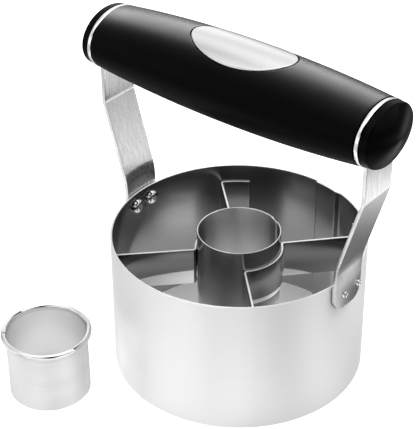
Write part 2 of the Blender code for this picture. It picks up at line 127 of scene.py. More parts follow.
# The head: how far out it sits, its radius and height, and the powers that make it squarer than a ball
HEAD_SEAT = RING_RADIUS - RING_WALL - 0.00025
HEAD_RADIUS = 0.0027
HEAD_HEIGHT = 0.0017
HEAD_POWERS = (0.6, 0.8)
HEAD_STEPS = 16
# The tail: how far out it sits, and its section from its hollow middle out as radius and height
TAIL_SEAT = RING_RADIUS + ARM_THICKNESS + 0.0005
TAIL_SECTION = (
    (0, -0.0012),
    (0.0006, -0.0011),
    (0.0008, 0.0002),
    (0.00095, 0.00045),
    (0.0012, 0.0003),
    (0.0013, 0),
)

# Grip: half its length, then half its depth and height in the middle and at its ends. The barrel's power
# says how late the oval shrinks.
GRIP_Z = 0.1099
GRIP_CENTRE = (0, RING_Y, GRIP_Z)
HALF_GRIP = 0.0533
GRIP_MIDDLE = (0.0158, 0.0140)
GRIP_END = (0.0141, 0.0108)
GRIP_BARREL = 2.1
GRIP_SIDES = 160
GRIP_SLICES = 96

# Oval plate: half its length and width, its middle, and its underside and top over the skin
HALF_PLATE_LENGTH = 0.0202
HALF_PLATE_WIDTH = 0.0102
PLATE_X = 0.0014
PLATE_UNDER = -0.0007
PLATE_TOP = 0.0001
PLATE_EDGE = 0.00028
PLATE_SIDES = 96

# The recess that it sits in
RECESS_GAP = 0.0005
RECESS_UNDER = -0.0009
RECESS_TOP = 0.003
RECESS_RIM = 0.0006

# Widths of the bands of faces on both, from the rim inwards, where half the length counts as 1
RECESS_RINGS = [0.1] * 8
PLATE_RINGS = [0.02, 0.02] + RECESS_RINGS

# Trim bands. The opening is an angle to each side of straight down, in radians.
BAND_START_X = 0.05368
BAND_WIDTH = 0.00138
BAND_THICKNESS = 0.0009
BAND_CROWN = 0.00022
BAND_OPENING = 0.68
BAND_STEPS = 150

# End caps: their side runs from the start to the crease, their dome beyond it
CAP_START_X = 0.0554
CAP_CREASE_X = 0.0579
CAP_CREASE = (0.0135, 0.0105)
CAP_DOME = 0.00375
CAP_DOME_POWER = 1 / 1.45
CAP_STEPS = 128

# Small cutter
SMALL_RADIUS = 0.0142
SMALL_WALL = 0.0004
SMALL_INSIDE = SMALL_RADIUS - SMALL_WALL
SMALL_HEIGHT = 0.0249
SMALL_MIDDLE_Z = 0.012
SMALL_FOOT_EDGE = 0.0001
SMALL_STEPS = 160
CURL_RADIUS = 0.00098
CURL_END = math.radians(-108)

# The lap of its wall: its place and step, and in radians how far the step takes to come, how near to its
# place a point counts as past it, and how far it takes to fade
SMALL_LAP_AT = math.radians(18)
SMALL_LAP_STEP = 0.00022
SMALL_LAP_RISE = 0.006
SMALL_LAP_MARGIN = 0.001
SMALL_LAP_FADE = 1.2

# The joint in its rim: half its angle in radians, the cuts beside it, and how thin the curl is there
RIM_JOINT_AT = math.radians(-134)
RIM_JOINT_HALF = 0.015
RIM_JOINT_CUTS = (-0.024, -0.013, 0.013, 0.024)
RIM_JOINT_SHARE = 0.6

# Grey and roughness of a sheared edge, whose light grey is partly a painted highlight on the rough bare
# metal, and of a polished rolled rim, whose darker grey is painted shade
SHEARED_EDGE_HIGHLIGHT = (0.95, 0.75)
ROLLED_RIM_SHADE = (0.66, 0.04)

# Scales of the wiping marks, and how strong they are on plastic
STEEL_MARKS = (60, 60, 60)
PLASTIC_MARKS = (70, 70, 70)
PLASTIC_WIPING = 0.16

# How coarse the clouding of a grain is beside its streaks
CLOUD_SCALE = (0.23, 0.23, 0.23)

# By what factors a roughness differs where the grain is darkest and where it is lightest
OUTER_SWING = (1.15, 0.85)
INNER_SWING = (1.1, 0.9)
SKIN_SWING = (0.94, 1.06)

# How strongly the relief shows, and how far the arms' shine is drawn out
STEEL_RELIEF = 0.6
PLASTIC_RELIEF = 0.5
STRAP_SHINE = 0.7
# A quarter turn, in turns
QUARTER_TURN = 0.25


def link(tree, source, target):
    tree.links.new(source, target)


def node(tree, kind, **values):
    made = tree.nodes.new(kind)
    for key, value in values.items():
        setattr(made, key, value)
    return made


def set_inputs(made, **values):
    """Sets sockets by their names, in which an underscore stands for a space."""
    for key, value in values.items():
        made.inputs[key.replace("_", " ")].default_value = value


def new_group(name, inputs, outputs):
    """An empty node group with float, vector or colour sockets, and its two end nodes."""
    group = bpy.data.node_groups.new(name, "ShaderNodeTree")
    for socket, kind, value in inputs:
        made = group.interface.new_socket(socket, in_out="INPUT", socket_type="NodeSocket" + kind)
        if value is not None:
            made.default_value = value
    for socket, kind in outputs:
        group.interface.new_socket(socket, in_out="OUTPUT", socket_type="NodeSocket" + kind)
    return group, node(group, "NodeGroupInput"), node(group, "NodeGroupOutput")


def noise(tree, vector, detail=3.0, roughness=0.6):
    made = node(tree, "ShaderNodeTexNoise")
    set_inputs(made, Scale=1.0, Detail=detail, Roughness=roughness)
    link(tree, vector, made.inputs["Vector"])
    return made.outputs["Fac"]


def scaled(tree, vector, factors):
    made = node(tree, "ShaderNodeVectorMath", operation="MULTIPLY")
    made.inputs[1].default_value = factors
    link(tree, vector, made.inputs[0])
    return made.outputs["Vector"]


def spread(tree, value, low, high, start=0.3, end=0.7):
    """A value between start and end, stretched to run from low to high. Most noise lies in 0.3 to 0.7."""
    made = node(tree, "ShaderNodeMapRange")
    set_inputs(made, From_Min=start, From_Max=end, To_Min=low, To_Max=high)
    link(tree, value, made.inputs["Value"])
    return made.outputs["Result"]


def math_node(tree, operation, first, second):
    made = node(tree, "ShaderNodeMath", operation=operation)
    for socket, value in zip(made.inputs, (first, second)):
        if isinstance(value, (int, float)):
            socket.default_value = value
        else:
            link(tree, value, socket)
    return made.outputs["Value"]


def make_grain_group():
    """Brushed grain: fine streaks, drawn out by the vector's scale, and slow clouding."""
    group, start, end = new_group(
        "brushed_grain",
        [("Vector", "Vector", None), ("Clouding", "Float", 0.5)],
        [("Tone", "Float"), ("Height", "Float")],
    )
    fine = noise(group, start.outputs["Vector"], detail=4.0, roughness=0.7)
    broad = noise(group, scaled(group, start.outputs["Vector"], CLOUD_SCALE), detail=2.0)
    cloud_share = math_node(group, "MULTIPLY", broad, start.outputs["Clouding"])
    fine_share = math_node(group, "SUBTRACT", 1.0, start.outputs["Clouding"])
    tone = math_node(group, "ADD", cloud_share, math_node(group, "MULTIPLY", fine, fine_share))
    link(group, tone, end.inputs["Tone"])
    link(group, fine, end.inputs["Height"])
    return group


def make_above_group():
    """1 above a height, 0 below it: a sheet's sheared top edge with its painted highlight, or a rolled rim
    with its painted shade.
    """
    group, start, end = new_group(
        "above_height", [("Vector", "Vector", None), ("Height", "Float", 0.01)], [("Mask", "Float")]
    )
    parts = node(group, "ShaderNodeSeparateXYZ")
    link(group, start.outputs["Vector"], parts.inputs["Vector"])
    mask = math_node(group, "GREATER_THAN", parts.outputs["Z"], start.outputs["Height"])
    link(group, mask, end.inputs["Mask"])
    return group


def make_marks_group():
    """Faint wiping marks: soft patches round zero, to be added to a roughness."""
    group, start, end = new_group(
        "handling_marks", [("Vector", "Vector", None), ("Strength", "Float", 0.1)], [("Marks", "Float")]
    )
    patches = noise(group, start.outputs["Vector"], detail=5.0, roughness=0.65)
    centred = math_node(group, "SUBTRACT", patches, 0.5)
    link(group, math_node(group, "MULTIPLY", centred, start.outputs["Strength"]), end.inputs["Marks"])
    return group


GRAIN = make_grain_group()
ABOVE = make_above_group()
MARKS = make_marks_group()


def place_group(tree, group, vector, **values):
    made = node(tree, "ShaderNodeGroup")
    made.node_tree = group
    set_inputs(made, **values)
    link(tree, vector, made.inputs["Vector"])
    return made


def new_material(name):
    """A material with only its Principled shader, and that shader."""
    material = bpy.data.materials.new(name)
    material.use_nodes = True
    return material, material.node_tree, material.node_tree.nodes["Principled BSDF"]


def object_vector(tree, centre=(0, 0, 0), scale=(1, 1, 1)):
    """Object coordinates from a centre, scaled."""
    coordinates = node(tree, "ShaderNodeTexCoord")
    mapping = node(tree, "ShaderNodeMapping", vector_type="POINT")
    link(tree, coordinates.outputs["Object"], mapping.inputs["Vector"])
    set_inputs(mapping, Location=[-c * s for c, s in zip(centre, scale)], Scale=scale)
    return mapping.outputs["Vector"]


def blended(tree, factor, low, high):
    """A colour between two others, each a tuple or another node's output."""
    made = node(tree, "ShaderNodeMix", data_type="RGBA")
    link(tree, factor, made.inputs["Factor"])
    for socket, colour in ((made.inputs[6], low), (made.inputs[7], high)):
        if isinstance(colour, tuple):
            socket.default_value = (*colour, 1)
        else:
            link(tree, colour, socket)
    return made.outputs[2]


def blended_value(tree, factor, low, high):
    """A value between two others, each a number or another node's output."""
    made = node(tree, "ShaderNodeMix", data_type="FLOAT")
    link(tree, factor, made.inputs["Factor"])
    for socket, value in ((made.inputs[2], low), (made.inputs[3], high)):
        if isinstance(value, (int, float)):
            socket.default_value = value
        else:
            link(tree, value, socket)
    return made.outputs[0]


def bump(tree, height, distance, strength, shader):
    made = node(tree, "ShaderNodeBump")
    set_inputs(made, Strength=strength, Distance=distance)
    link(tree, height, made.inputs["Height"])
    link(tree, made.outputs["Normal"], shader.inputs["Normal"])


def draw_out_shine(tree, shader, amount, **way):
    """Draws the shine out across the brushing, whose way is given as a tangent node's values."""
    tangent = node(tree, "ShaderNodeTangent", **way)
    link(tree, tangent.outputs["Tangent"], shader.inputs["Tangent"])
    shader.inputs["Anisotropic"].default_value = amount


def grey(value):
    return (value, value, value)


def swung(roughness, swing):
    return [roughness * factor for factor in swing]


def steel(
    name,
    light,
    dark,
    roughness,
    scale,
    centre,
    clouding=0.35,
    relief=0.00002,
    inside=None,
    cut_highlight_above=None,
    rolled_shade_above=None,
    turned=0.0,
    strap_uv=None,
    polish=0.05,
):
    """Steel whose grain runs from dark to light and follows the scale. Inside gives light, dark and roughness
    for the faces marked as inner, which on the ring and the tube paint shade on one face. The sheet shows its
    sheared edge above one height, lightened partly as a painted highlight, and its rolled rim above another,
    darkened as painted shade. The shine is drawn out round the axis by the amount in turned, or along the UV
    map named in strap_uv. Polish is the strength of the wiping marks."""
    material, tree, shader = new_material(name)
    shader.inputs["Metallic"].default_value = 1.0
    grain = place_group(tree, GRAIN, object_vector(tree, centre, scale), Clouding=clouding)
    marks = place_group(tree, MARKS, object_vector(tree, centre, STEEL_MARKS), Strength=polish)
    tone = spread(tree, grain.outputs["Tone"], 0.0, 1.0)
    colour = blended(tree, tone, grey(dark), grey(light))
    rough = spread(tree, tone, *swung(roughness, OUTER_SWING), 0, 1)
    rough = math_node(tree, "ADD", rough, marks.outputs["Marks"])
    # A second grey for the inner faces; on the ring and the tube it paints shade onto one face of the sheet
    if inside:
        inner_light, inner_dark, inner_roughness = inside
        mask = node(tree, "ShaderNodeAttribute", attribute_name="inner").outputs["Fac"]
        inner_colour = blended(tree, tone, grey(inner_dark), grey(inner_light))
        inner_rough = spread(tree, tone, *swung(inner_roughness, INNER_SWING), 0, 1)
        colour = blended(tree, mask, colour, inner_colour)
        rough = blended_value(tree, mask, rough, inner_rough)
    # Above its heights the sheet gets the sheared edge's partly painted highlight and the rolled rim's
    # painted shade
    for height, (upper_tone, upper_rough) in ((rolled_shade_above, ROLLED_RIM_SHADE), (cut_highlight_above, SHEARED_EDGE_HIGHLIGHT)):
        if height:
            above = place_group(tree, ABOVE, object_vector(tree, centre), Height=height).outputs["Mask"]
            colour = blended(tree, above, colour, grey(upper_tone))
            rough = blended_value(tree, above, rough, upper_rough)
    link(tree, colour, shader.inputs["Base Color"])
    link(tree, rough, shader.inputs["Roughness"])
    bump(tree, grain.outputs["Height"], relief, STEEL_RELIEF, shader)
    if strap_uv:
        draw_out_shine(tree, shader, STRAP_SHINE, direction_type="UV_MAP", uv_map=strap_uv)
    if turned:
        draw_out_shine(tree, shader, turned, direction_type="RADIAL", axis="Z")
        shader.inputs["Anisotropic Rotation"].default_value = QUARTER_TURN
    return material


def plastic(name, light, dark, roughness, grain_size, relief, specular=0.5):
    """Moulded or soft-touch black with a fine skin."""
    material, tree, shader = new_material(name)
    shader.inputs["Specular IOR Level"].default_value = specular
    scale = 1 / grain_size
    skin = noise(tree, object_vector(tree, GRIP_CENTRE, (scale, scale, scale)))
    marks = place_group(tree, MARKS, object_vector(tree, GRIP_CENTRE, PLASTIC_MARKS), Strength=PLASTIC_WIPING)
    colour = blended(tree, spread(tree, skin, 0, 1), grey(dark), grey(light))
    rough = spread(tree, skin, *swung(roughness, SKIN_SWING))
    link(tree, colour, shader.inputs["Base Color"])
    link(tree, math_node(tree, "ADD", rough, marks.outputs["Marks"]), shader.inputs["Roughness"])
    bump(tree, skin, relief, PLASTIC_RELIEF, shader)
    return material


# The ring's inner faces get a far darker grey than its outer ones: painted shade on the inner wall of one and
# the same sheet
RING_STEEL = steel(
    "satin_ring_steel", 0.955, 0.94, 0.72, (70, 70, 2600), RING_CENTRE, relief=0.000008,
    inside=(0.235, 0.21, 0.16), cut_highlight_above=RING_HEIGHT - 0.00004, turned=0.9,
)
# The tube's outer faces get a darker grey than its inner ones: painted shade on the outer face of one and the
# same sheet
TUBE_STEEL = steel(
    "satin_tube_steel", 0.37, 0.335, 0.22, (90, 90, 2600), RING_CENTRE, relief=0.000003,
    inside=(0.66, 0.60, 0.22), cut_highlight_above=TUBE_HEIGHT - 0.00003, turned=0.9,
)
STRIP_STEEL = steel(
    "bright_strip_steel", 0.50, 0.47, 0.06, (300, 300, 2600), RING_CENTRE, relief=0.000002,
    cut_highlight_above=STRIP_TOP - 0.00015, polish=0.02,
)
ARM_STEEL = steel(
    "brushed_arm_steel", 0.86, 0.56, 0.28, (300, 3200, 240), RING_CENTRE, clouding=0.2, relief=0.00001,
    strap_uv="strap",
)
RIVET_STEEL = steel("bright_rivet_steel", 0.60, 0.52, 0.10, (900, 900, 900), RING_CENTRE, relief=0.000004)
TRIM_METAL = steel("bright_trim_metal", 0.78, 0.74, 0.09, (1200, 200, 200), GRIP_CENTRE, relief=0.000003)
PLATE_METAL = steel("satin_plate_metal", 0.62, 0.58, 0.28, (130, 2800, 300), GRIP_CENTRE, relief=0.000006)
SMALL_STEEL = steel(
    "satin_small_steel", 0.87, 0.84, 0.66, (70, 70, 2600), SMALL_CENTRE, relief=0.000005,
    inside=(0.88, 0.84, 0.34), rolled_shade_above=SMALL_HEIGHT - 2.05 * CURL_RADIUS, turned=0.6,
)
HIDDEN_STEEL = steel("plain_screw_steel", 0.70, 0.60, 0.30, (900, 900, 900), RING_CENTRE)
SOFT_BLACK = plastic("soft_black_skin", 0.0010, 0.0006, 0.38, 0.00035, 0.000020, specular=0.031)
GLOSS_BLACK = plastic("gloss_black_cap", 0.0010, 0.0007, 0.23, 0.0006, 0.000003, specular=0.034)
CORE_BLACK = plastic("dull_black_core", 0.04, 0.03, 0.50, 0.0005, 0.00002)


def add_object(name, data):
    made = bpy.data.objects.new(name, data)
    bpy.context.scene.collection.objects.link(made)
    return made


def mesh_of(form, name):
    """The form as a mesh, after which the form itself is gone."""
    mesh = bpy.data.meshes.new(name)
    form.to_mesh(mesh)
    form.free()
    return mesh


def shade(mesh, sharp):
    """Smooth faces, with creases where they meet at more than an angle in degrees."""
    mesh.shade_smooth()
    mesh.set_sharp_from_angle(angle=math.radians(sharp))


def finish_piece(form, name, material, nodes, body="ring_and_grip", move=RING_CENTRE, sharp=35):
    """Turns the form into a piece in its place, which stands for the CAD nodes and rides on the body. It
    gets creases where its faces meet at more than the sharp angle in degrees."""
    bmesh.ops.remove_doubles(form, verts=form.verts, dist=MERGE_DISTANCE)
    bmesh.ops.recalc_face_normals(form, faces=form.faces)
    bmesh.ops.translate(form, verts=form.verts, vec=move)
    mesh = mesh_of(form, name)
    mesh.materials.append(material)
    shade(mesh, sharp)
    piece = add_object(name, mesh)
    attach(piece, body)
    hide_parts(*nodes)
    return piece


def made_parts(made, kind):
    return [part for part in made["geom"] if isinstance(part, kind)]


def draw_line(form, points, closed=False):
    """A line through points in the XZ plane, left as edges."""
    verts = [form.verts.new((x, 0, z)) for x, z in points]
    for pair in zip(verts, verts[1:] + (verts[:1] if closed else [])):
        form.edges.new(pair)


def round_off(form, parts, width, segments, affect="EDGES", clamp=False):
    bmesh.ops.bevel(
        form, geom=parts, offset=width, offset_type="OFFSET", segments=segments, profile=0.5,
        affect=affect, clamp_overlap=clamp, material=-1,
    )


def rounded_outline(form, corners, radius):
    """An outline in the XZ plane with its corners rounded, left as edges."""
    verts = [form.verts.new((x, 0, z)) for x, z in corners]
    form.faces.new(verts)
    round_off(form, verts, radius, 3, affect="VERTICES")
    bmesh.ops.delete(form, geom=form.faces[:], context="FACES_ONLY")


def turn_round(form, axis, steps):
    """Spins all that is there once round an axis through the origin."""
    bmesh.ops.spin(
        form, geom=form.verts[:] + form.edges[:], cent=(0, 0, 0), axis=axis, angle=math.tau, steps=steps,
        use_merge=True,
    )
    bmesh.ops.remove_doubles(form, verts=form.verts, dist=MERGE_DISTANCE)


def turn_form(form, angle, axis="Z"):
    bmesh.ops.rotate(form, verts=form.verts, cent=(0, 0, 0), matrix=Matrix.Rotation(angle, 3, axis))


def cut_across(form, place, normal):
    """New edges where a plane meets the form."""
    whole = form.verts[:] + form.edges[:] + form.faces[:]
    bmesh.ops.bisect_plane(form, geom=whole, plane_co=place, plane_no=normal, dist=CUT_TOLERANCE)


def cut_lengthwise(form, angle):
    """New edges where an upright plane through the axis meets the form."""
    cut_across(form, (0, 0, 0), (-math.sin(angle), math.cos(angle), 0))


def angle_round(vert):
    """Where a point stands round the axis."""
    return math.atan2(vert.co.y, vert.co.x)


def move_to_radius(vert, radius):
    """Moves a point straight out from the axis, or in towards it."""
    factor = radius / math.hypot(vert.co.x, vert.co.y)
    vert.co.x *= factor
    vert.co.y *= factor


def clamped(value):
    return min(1, max(0, value))


def eased(share):
    """A share from 0 to 1 that starts and ends softly."""
    return share * share * (3 - 2 * share)


def folded_edges(form, degrees):
    """The edges at which two faces meet at more than an angle."""
    return [
        edge for edge in form.edges
        if len(edge.link_faces) == 2 and edge.calc_face_angle(0) > math.radians(degrees)
    ]


def soften_edges(form, width, segments, above=60):
    """Rounds every edge that is sharper than an angle in degrees."""
    round_off(form, folded_edges(form, above), width, segments, clamp=True)


def thicken(form, thickness):
    """Gives an open surface a wall, half to each side."""
    normals = {vert: vert.normal.copy() for vert in form.verts}
    for vert, normal in normals.items():
        vert.co += normal * thickness / 2
    bmesh.ops.solidify(form, geom=form.faces[:], thickness=thickness)
    bmesh.ops.recalc_face_normals(form, faces=form.faces)


def mark_inner(form):
    """Marks the faces that look at the axis, for the steel's inner tone. On the ring and the tube the two
    tones paint shade: the ring's inner wall and the tube's outer face are painted darker.
    """
    bmesh.ops.recalc_face_normals(form, faces=form.faces)
    form.normal_update()
    layer = form.faces.layers.float.new("inner")
    for face in form.faces:
        middle = face.calc_center_median().xy
        face[layer] = 1.0 if face.normal.xy.dot(middle) < -INNER_FACING * middle.length else 0.0


def lap_share(along, start, rounding, panel, joggle):
    """How far the sheet is stepped in at a place along its seam: 0 before the end that shows, which is
    rounded over, then 1 on the panel, and falling over the joggle."""
    if along > start + rounding / 100:
        return 0
    rise = min(1, SEAM_FIRST_STEP + (1 - SEAM_FIRST_STEP) * max(0, start - along) / rounding)
    fall = clamped((-panel / 2 - along) / joggle)
    return math.sqrt(1 - (1 - rise) ** 2) * (1 - eased(fall))


def rolled_tube(form, radius, wall, height, seam_at, seam, steps, edge):
    """A rolled sheet whose ends lap: one end stops short, the other is stepped in to pass behind it."""
    panel, lap, joggle, step = seam
    rounding = step * SEAM_ROUNDING
    inside = radius - wall
    rounded_outline(form, [(inside, 0), (radius, 0), (radius, height), (inside, height)], edge)
    turn_round(form, (0, 0, 1), steps)
    ends = (panel / 2, panel / 2 - lap)
    places = [end + rounding / 20 for end in ends]
    places += [end - rounding * number / 5 for end in ends for number in range(6)]
    places += [-panel / 2 - joggle * number / 8 for number in range(9)]
    for place in places:
        cut_lengthwise(form, seam_at + place / radius)
    for vert in form.verts:
        distance = math.hypot(vert.co.x, vert.co.y)
        along = math.remainder(angle_round(vert) - seam_at, math.tau) * radius
        on_outer_face = distance > radius - wall / 2
        start = panel / 2 - (lap if on_outer_face else 0)
        move_to_radius(vert, distance - step * lap_share(along, start, rounding, panel, joggle))
    mark_inner(form)


def make_ring():
    form = bmesh.new()
    rolled_tube(
        form, RING_RADIUS, RING_WALL, RING_HEIGHT, RING_SEAM_AT, RING_SEAM, RING_STEPS, RING_EDGE
    )
    finish_piece(form, "ring_sheet", RING_STEEL, ["ring_wall"], sharp=30)


def make_tube():
    form = bmesh.new()
    rolled_tube(
        form, TUBE_RADIUS, TUBE_WALL, TUBE_HEIGHT, TUBE_SEAM_AT, TUBE_SEAM, TUBE_STEPS, TUBE_EDGE
    )
    finish_piece(form, "tube_sheet", TUBE_STEEL, ["centre_tube"], sharp=30)


def end_edge(form, angle):
    """The upright edge that stands nearest to an angle round the axis."""
    upright = [
        edge for edge in form.edges
        if edge.is_boundary and abs(edge.verts[0].co.z - edge.verts[1].co.z) > STRIP_HEIGHT / 2
    ]
    return min(
        upright, key=lambda edge: abs(math.remainder(angle_round(edge.verts[0]) - angle, math.tau))
    )


def add_spoke(form, angle, tab):
    """From the strip's end on the tube: the spoke out to the wall, and the tab turned along it, whose
    length is negative where it turns clockwise."""
    out = Vector((math.cos(angle), math.sin(angle), 0))
    drawn = bmesh.ops.extrude_edge_only(form, edges=[end_edge(form, angle)])
    ends = made_parts(drawn, bmesh.types.BMVert)
    bmesh.ops.translate(form, verts=ends, vec=out * (STRIP_AT_WALL - STRIP_HUG))
    at_wall = [
        edge for edge in made_parts(drawn, bmesh.types.BMEdge)
        if all(vert.co.xy.length > STRIP_AT_WALL - NEAR for vert in edge.verts)
    ]
    bmesh.ops.spin(
        form, geom=at_wall[0].verts[:] + at_wall, cent=(0, 0, 0), axis=(0, 0, 1),
        angle=tab / STRIP_AT_WALL, steps=TAB_STEPS,
    )


def make_strip(side, spokes, last_tab):
    """A bent strip: it hugs the tube, runs out along two spokes and ends in two tabs."""
    first, last = spokes
    form = bmesh.new()
    start = Vector((STRIP_HUG * math.cos(first), STRIP_HUG * math.sin(first), STRIP_TOP - STRIP_HEIGHT))
    verts = [form.verts.new(start), form.verts.new(start + Vector((0, 0, STRIP_HEIGHT)))]
    edge = form.edges.new(verts)
    bmesh.ops.spin(
        form, geom=verts + [edge], cent=(0, 0, 0), axis=(0, 0, 1), angle=last - first,
        steps=STRIP_HUG_STEPS,
    )
    add_spoke(form, first, -TAB_LENGTH)
    add_spoke(form, last, last_tab)
    bmesh.ops.remove_doubles(form, verts=form.verts, dist=STRIP_MERGE_DISTANCE)
    round_off(form, folded_edges(form, 45), STRIP_FOLD, 6, clamp=True)
    bmesh.ops.recalc_face_normals(form, faces=form.faces)
    thicken(form, STRIP_THICKNESS)
    soften_edges(form, STRIP_EDGE, 3)
    finish_piece(form, "strip_" + side, STRIP_STEEL, ["divider_strip_" + side])


def bend_points():
    """The arm's middle line in the XZ plane: foot, two bends and top."""
    return [
        (ARM_FOOT_RADIUS, ARM_FOOT_Z),
        (ARM_FOOT_RADIUS, ARM_LOW_BEND_Z),
        (ARM_TOP_X, ARM_HIGH_BEND_Z),
        (ARM_TOP_X, ARM_TOP_Z),
    ]


def make_arm(side, turn):
    """A strap: rounded foot wrapped round the ring, two soft bends and an upright end inside the grip."""
    form = bmesh.new()
    line = [form.verts.new((x, -ARM_WIDTH / 2, z)) for x, z in bend_points()]
    edges = [form.edges.new(pair) for pair in zip(line, line[1:])]
    drawn = bmesh.ops.extrude_edge_only(form, edges=edges)
    bmesh.ops.translate(form, verts=made_parts(drawn, bmesh.types.BMVert), vec=(0, ARM_WIDTH, 0))
    bends = sorted(folded_edges(form, 5), key=lambda edge: edge.verts[0].co.z)
    for bend, reach in zip(bends, ARM_BEND_REACHES):
        round_off(form, [bend], reach, 8)
    for radius, height in ((ARM_FOOT_CORNER, ARM_FOOT_Z), (ARM_TOP_CORNER, ARM_TOP_Z)):
        corners = [vert for vert in form.verts if abs(vert.co.z - height) < NEAR]
        round_off(form, corners, radius, 10, affect="VERTICES")
    for number in range(1, ARM_LANES):
        cut_across(form, (0, ARM_WIDTH * (number / ARM_LANES - 0.5), 0), (0, 1, 0))
    for number in range(FLATTENING_STEPS + 1):
        height = RING_HEIGHT + ARM_FLATTENING * number / FLATTENING_STEPS
        cut_across(form, (0, 0, height), (0, 0, 1))
    for vert in form.verts:
        wrapped = ARM_FOOT_RADIUS - math.sqrt(ARM_FOOT_RADIUS**2 - vert.co.y**2)
        flat_share = clamped((vert.co.z - RING_HEIGHT) / ARM_FLATTENING)
        vert.co.x -= wrapped * (1 - eased(flat_share))
    bmesh.ops.recalc_face_normals(form, faces=form.faces)
    form.normal_update()
    thicken(form, ARM_THICKNESS)
    soften_edges(form, ARM_EDGE, 3)
    layer = form.loops.layers.uv.new("strap")
    for face in form.faces:
        for loop in face.loops:
            place = loop.vert.co
            loop[layer].uv = ((place.y + place.x) / ARM_WIDTH, place.z / ARM_WIDTH)
    turn_form(form, turn)
    finish_piece(form, "strap_" + side, ARM_STEEL, ["arm_" + side])


def rivet_outline():
    """Half of a rivet's section, from its pressed tail to its domed head, along the ring's radius."""
    tail = [(radius, TAIL_SEAT + height) for radius, height in TAIL_SECTION]
    across_power, height_power = HEAD_POWERS
    head = []
    for step in range(HEAD_STEPS + 1):
        angle = math.pi / 2 * step / HEAD_STEPS
        across = HEAD_RADIUS * math.cos(angle) ** across_power
        head.append((across, HEAD_SEAT - HEAD_HEIGHT * math.sin(angle) ** height_power))
    return tail + [(RIVET_SHANK, TAIL_SEAT), (RIVET_SHANK, HEAD_SEAT)] + head


def make_rivet(place, angle):
    form = bmesh.new()
    draw_line(form, rivet_outline())
    turn_round(form, (0, 0, 1), RIVET_STEPS)
    out = Matrix.Rotation(angle, 4, "Z") @ Matrix.Rotation(math.pi / 2, 4, "Y")
    bmesh.ops.transform(form, matrix=Matrix.Translation((0, 0, RIVET_Z)) @ out, verts=form.verts)
    finish_piece(form, "rivet_look_" + place, RIVET_STEEL, ["rivet_" + place], sharp=50)


def grip_section(x):
    """Half the depth and height of the grip's oval at x."""
    share = min(1, abs(x) / HALF_GRIP) ** GRIP_BARREL
    return [middle + (end - middle) * share for middle, end in zip(GRIP_MIDDLE, GRIP_END)]


def band_ratio(x):
    """Height to depth of a trim band's oval, the same all along."""
    return GRIP_END[1] / GRIP_END[0]


def cap_ratio(x):
    """Height to depth of the cap's oval at x."""
    share = clamped((x - BAND_START_X) / (CAP_CREASE_X - BAND_START_X))
    at_band = band_ratio(x)
    return at_band + (CAP_CREASE[1] / CAP_CREASE[0] - at_band) * share


def plate_form(length, width, low, high, rings):
    """An oval patch on the grip's top surface, drawn up from low to high above it."""
    form = bmesh.new()
    bmesh.ops.create_circle(form, cap_ends=True, radius=1, segments=PLATE_SIDES)
    for ring in rings:
        middle = [face for face in form.faces if len(face.verts) == PLATE_SIDES]
        bmesh.ops.inset_region(form, faces=middle, thickness=ring, use_boundary=True)
    bmesh.ops.poke(form, faces=[face for face in form.faces if len(face.verts) == PLATE_SIDES])
    for vert in form.verts:
        x = PLATE_X + length * vert.co.x
        y = width * vert.co.y
        depth, height = grip_section(x)
        vert.co = (x, y, GRIP_Z + height * math.sqrt(1 - (y / depth) ** 2) + low)
    raised = bmesh.ops.extrude_face_region(form, geom=form.faces[:], use_keep_orig=True)
    bmesh.ops.translate(form, verts=made_parts(raised, bmesh.types.BMVert), vec=(0, 0, high - low))
    bmesh.ops.recalc_face_normals(form, faces=form.faces)
    return form


def make_skin():
    """The grip's barrel with the recess that the oval plate sits in, its rim a little rounded."""
    form = bmesh.new()
    bmesh.ops.create_cone(form, cap_ends=True, segments=GRIP_SIDES, radius1=1, radius2=1, depth=1)
    for number in range(1, GRIP_SLICES):
        cut_across(form, (0, 0, number / GRIP_SLICES - 0.5), (0, 0, 1))
    for vert in form.verts:
        x = (vert.co.z * 2) * HALF_GRIP
        depth, height = grip_section(x)
        vert.co = (x, depth * vert.co.x, GRIP_Z + height * vert.co.y)
    skin = finish_piece(form, "soft_skin", SOFT_BLACK, ["grip_skin"], sharp=50)
    length, width = HALF_PLATE_LENGTH + RECESS_GAP, HALF_PLATE_WIDTH + RECESS_GAP
    recess = plate_form(length, width, RECESS_UNDER, RECESS_TOP, RECESS_RINGS)
    bmesh.ops.translate(recess, verts=recess.verts, vec=RING_CENTRE)
    cutter = add_object("plate_recess", mesh_of(recess, "plate_recess"))
    cutting = skin.modifiers.new("recess", "BOOLEAN")
    cutting.operation = "DIFFERENCE"
    cutting.solver = "EXACT"
    cutting.object = cutter
    softened = skin.modifiers.new("soft_rim", "BEVEL")
    softened.width = RECESS_RIM
    softened.segments = 4
    softened.limit_method = "ANGLE"
    softened.angle_limit = math.radians(50)
    view = bpy.context.evaluated_depsgraph_get()
    cut_mesh = bpy.data.meshes.new_from_object(skin.evaluated_get(view))
    skin.modifiers.clear()
    skin.data = cut_mesh
    cut_mesh.name = "soft_skin"
    shade(cut_mesh, 50)
    bpy.data.objects.remove(cutter, do_unlink=True)


def make_plate():
    form = plate_form(HALF_PLATE_LENGTH, HALF_PLATE_WIDTH, PLATE_UNDER, PLATE_TOP, PLATE_RINGS)
    soften_edges(form, PLATE_EDGE, 4, above=50)
    finish_piece(form, "oval_plate_face", PLATE_METAL, ["oval_plate"], sharp=50)


def press_oval(form, ratio):
    """Presses what was turned round X into an oval, flatter by the ratio at each x, at the grip's height."""
    for vert in form.verts:
        vert.co.z = GRIP_Z + vert.co.z * ratio(vert.co.x)


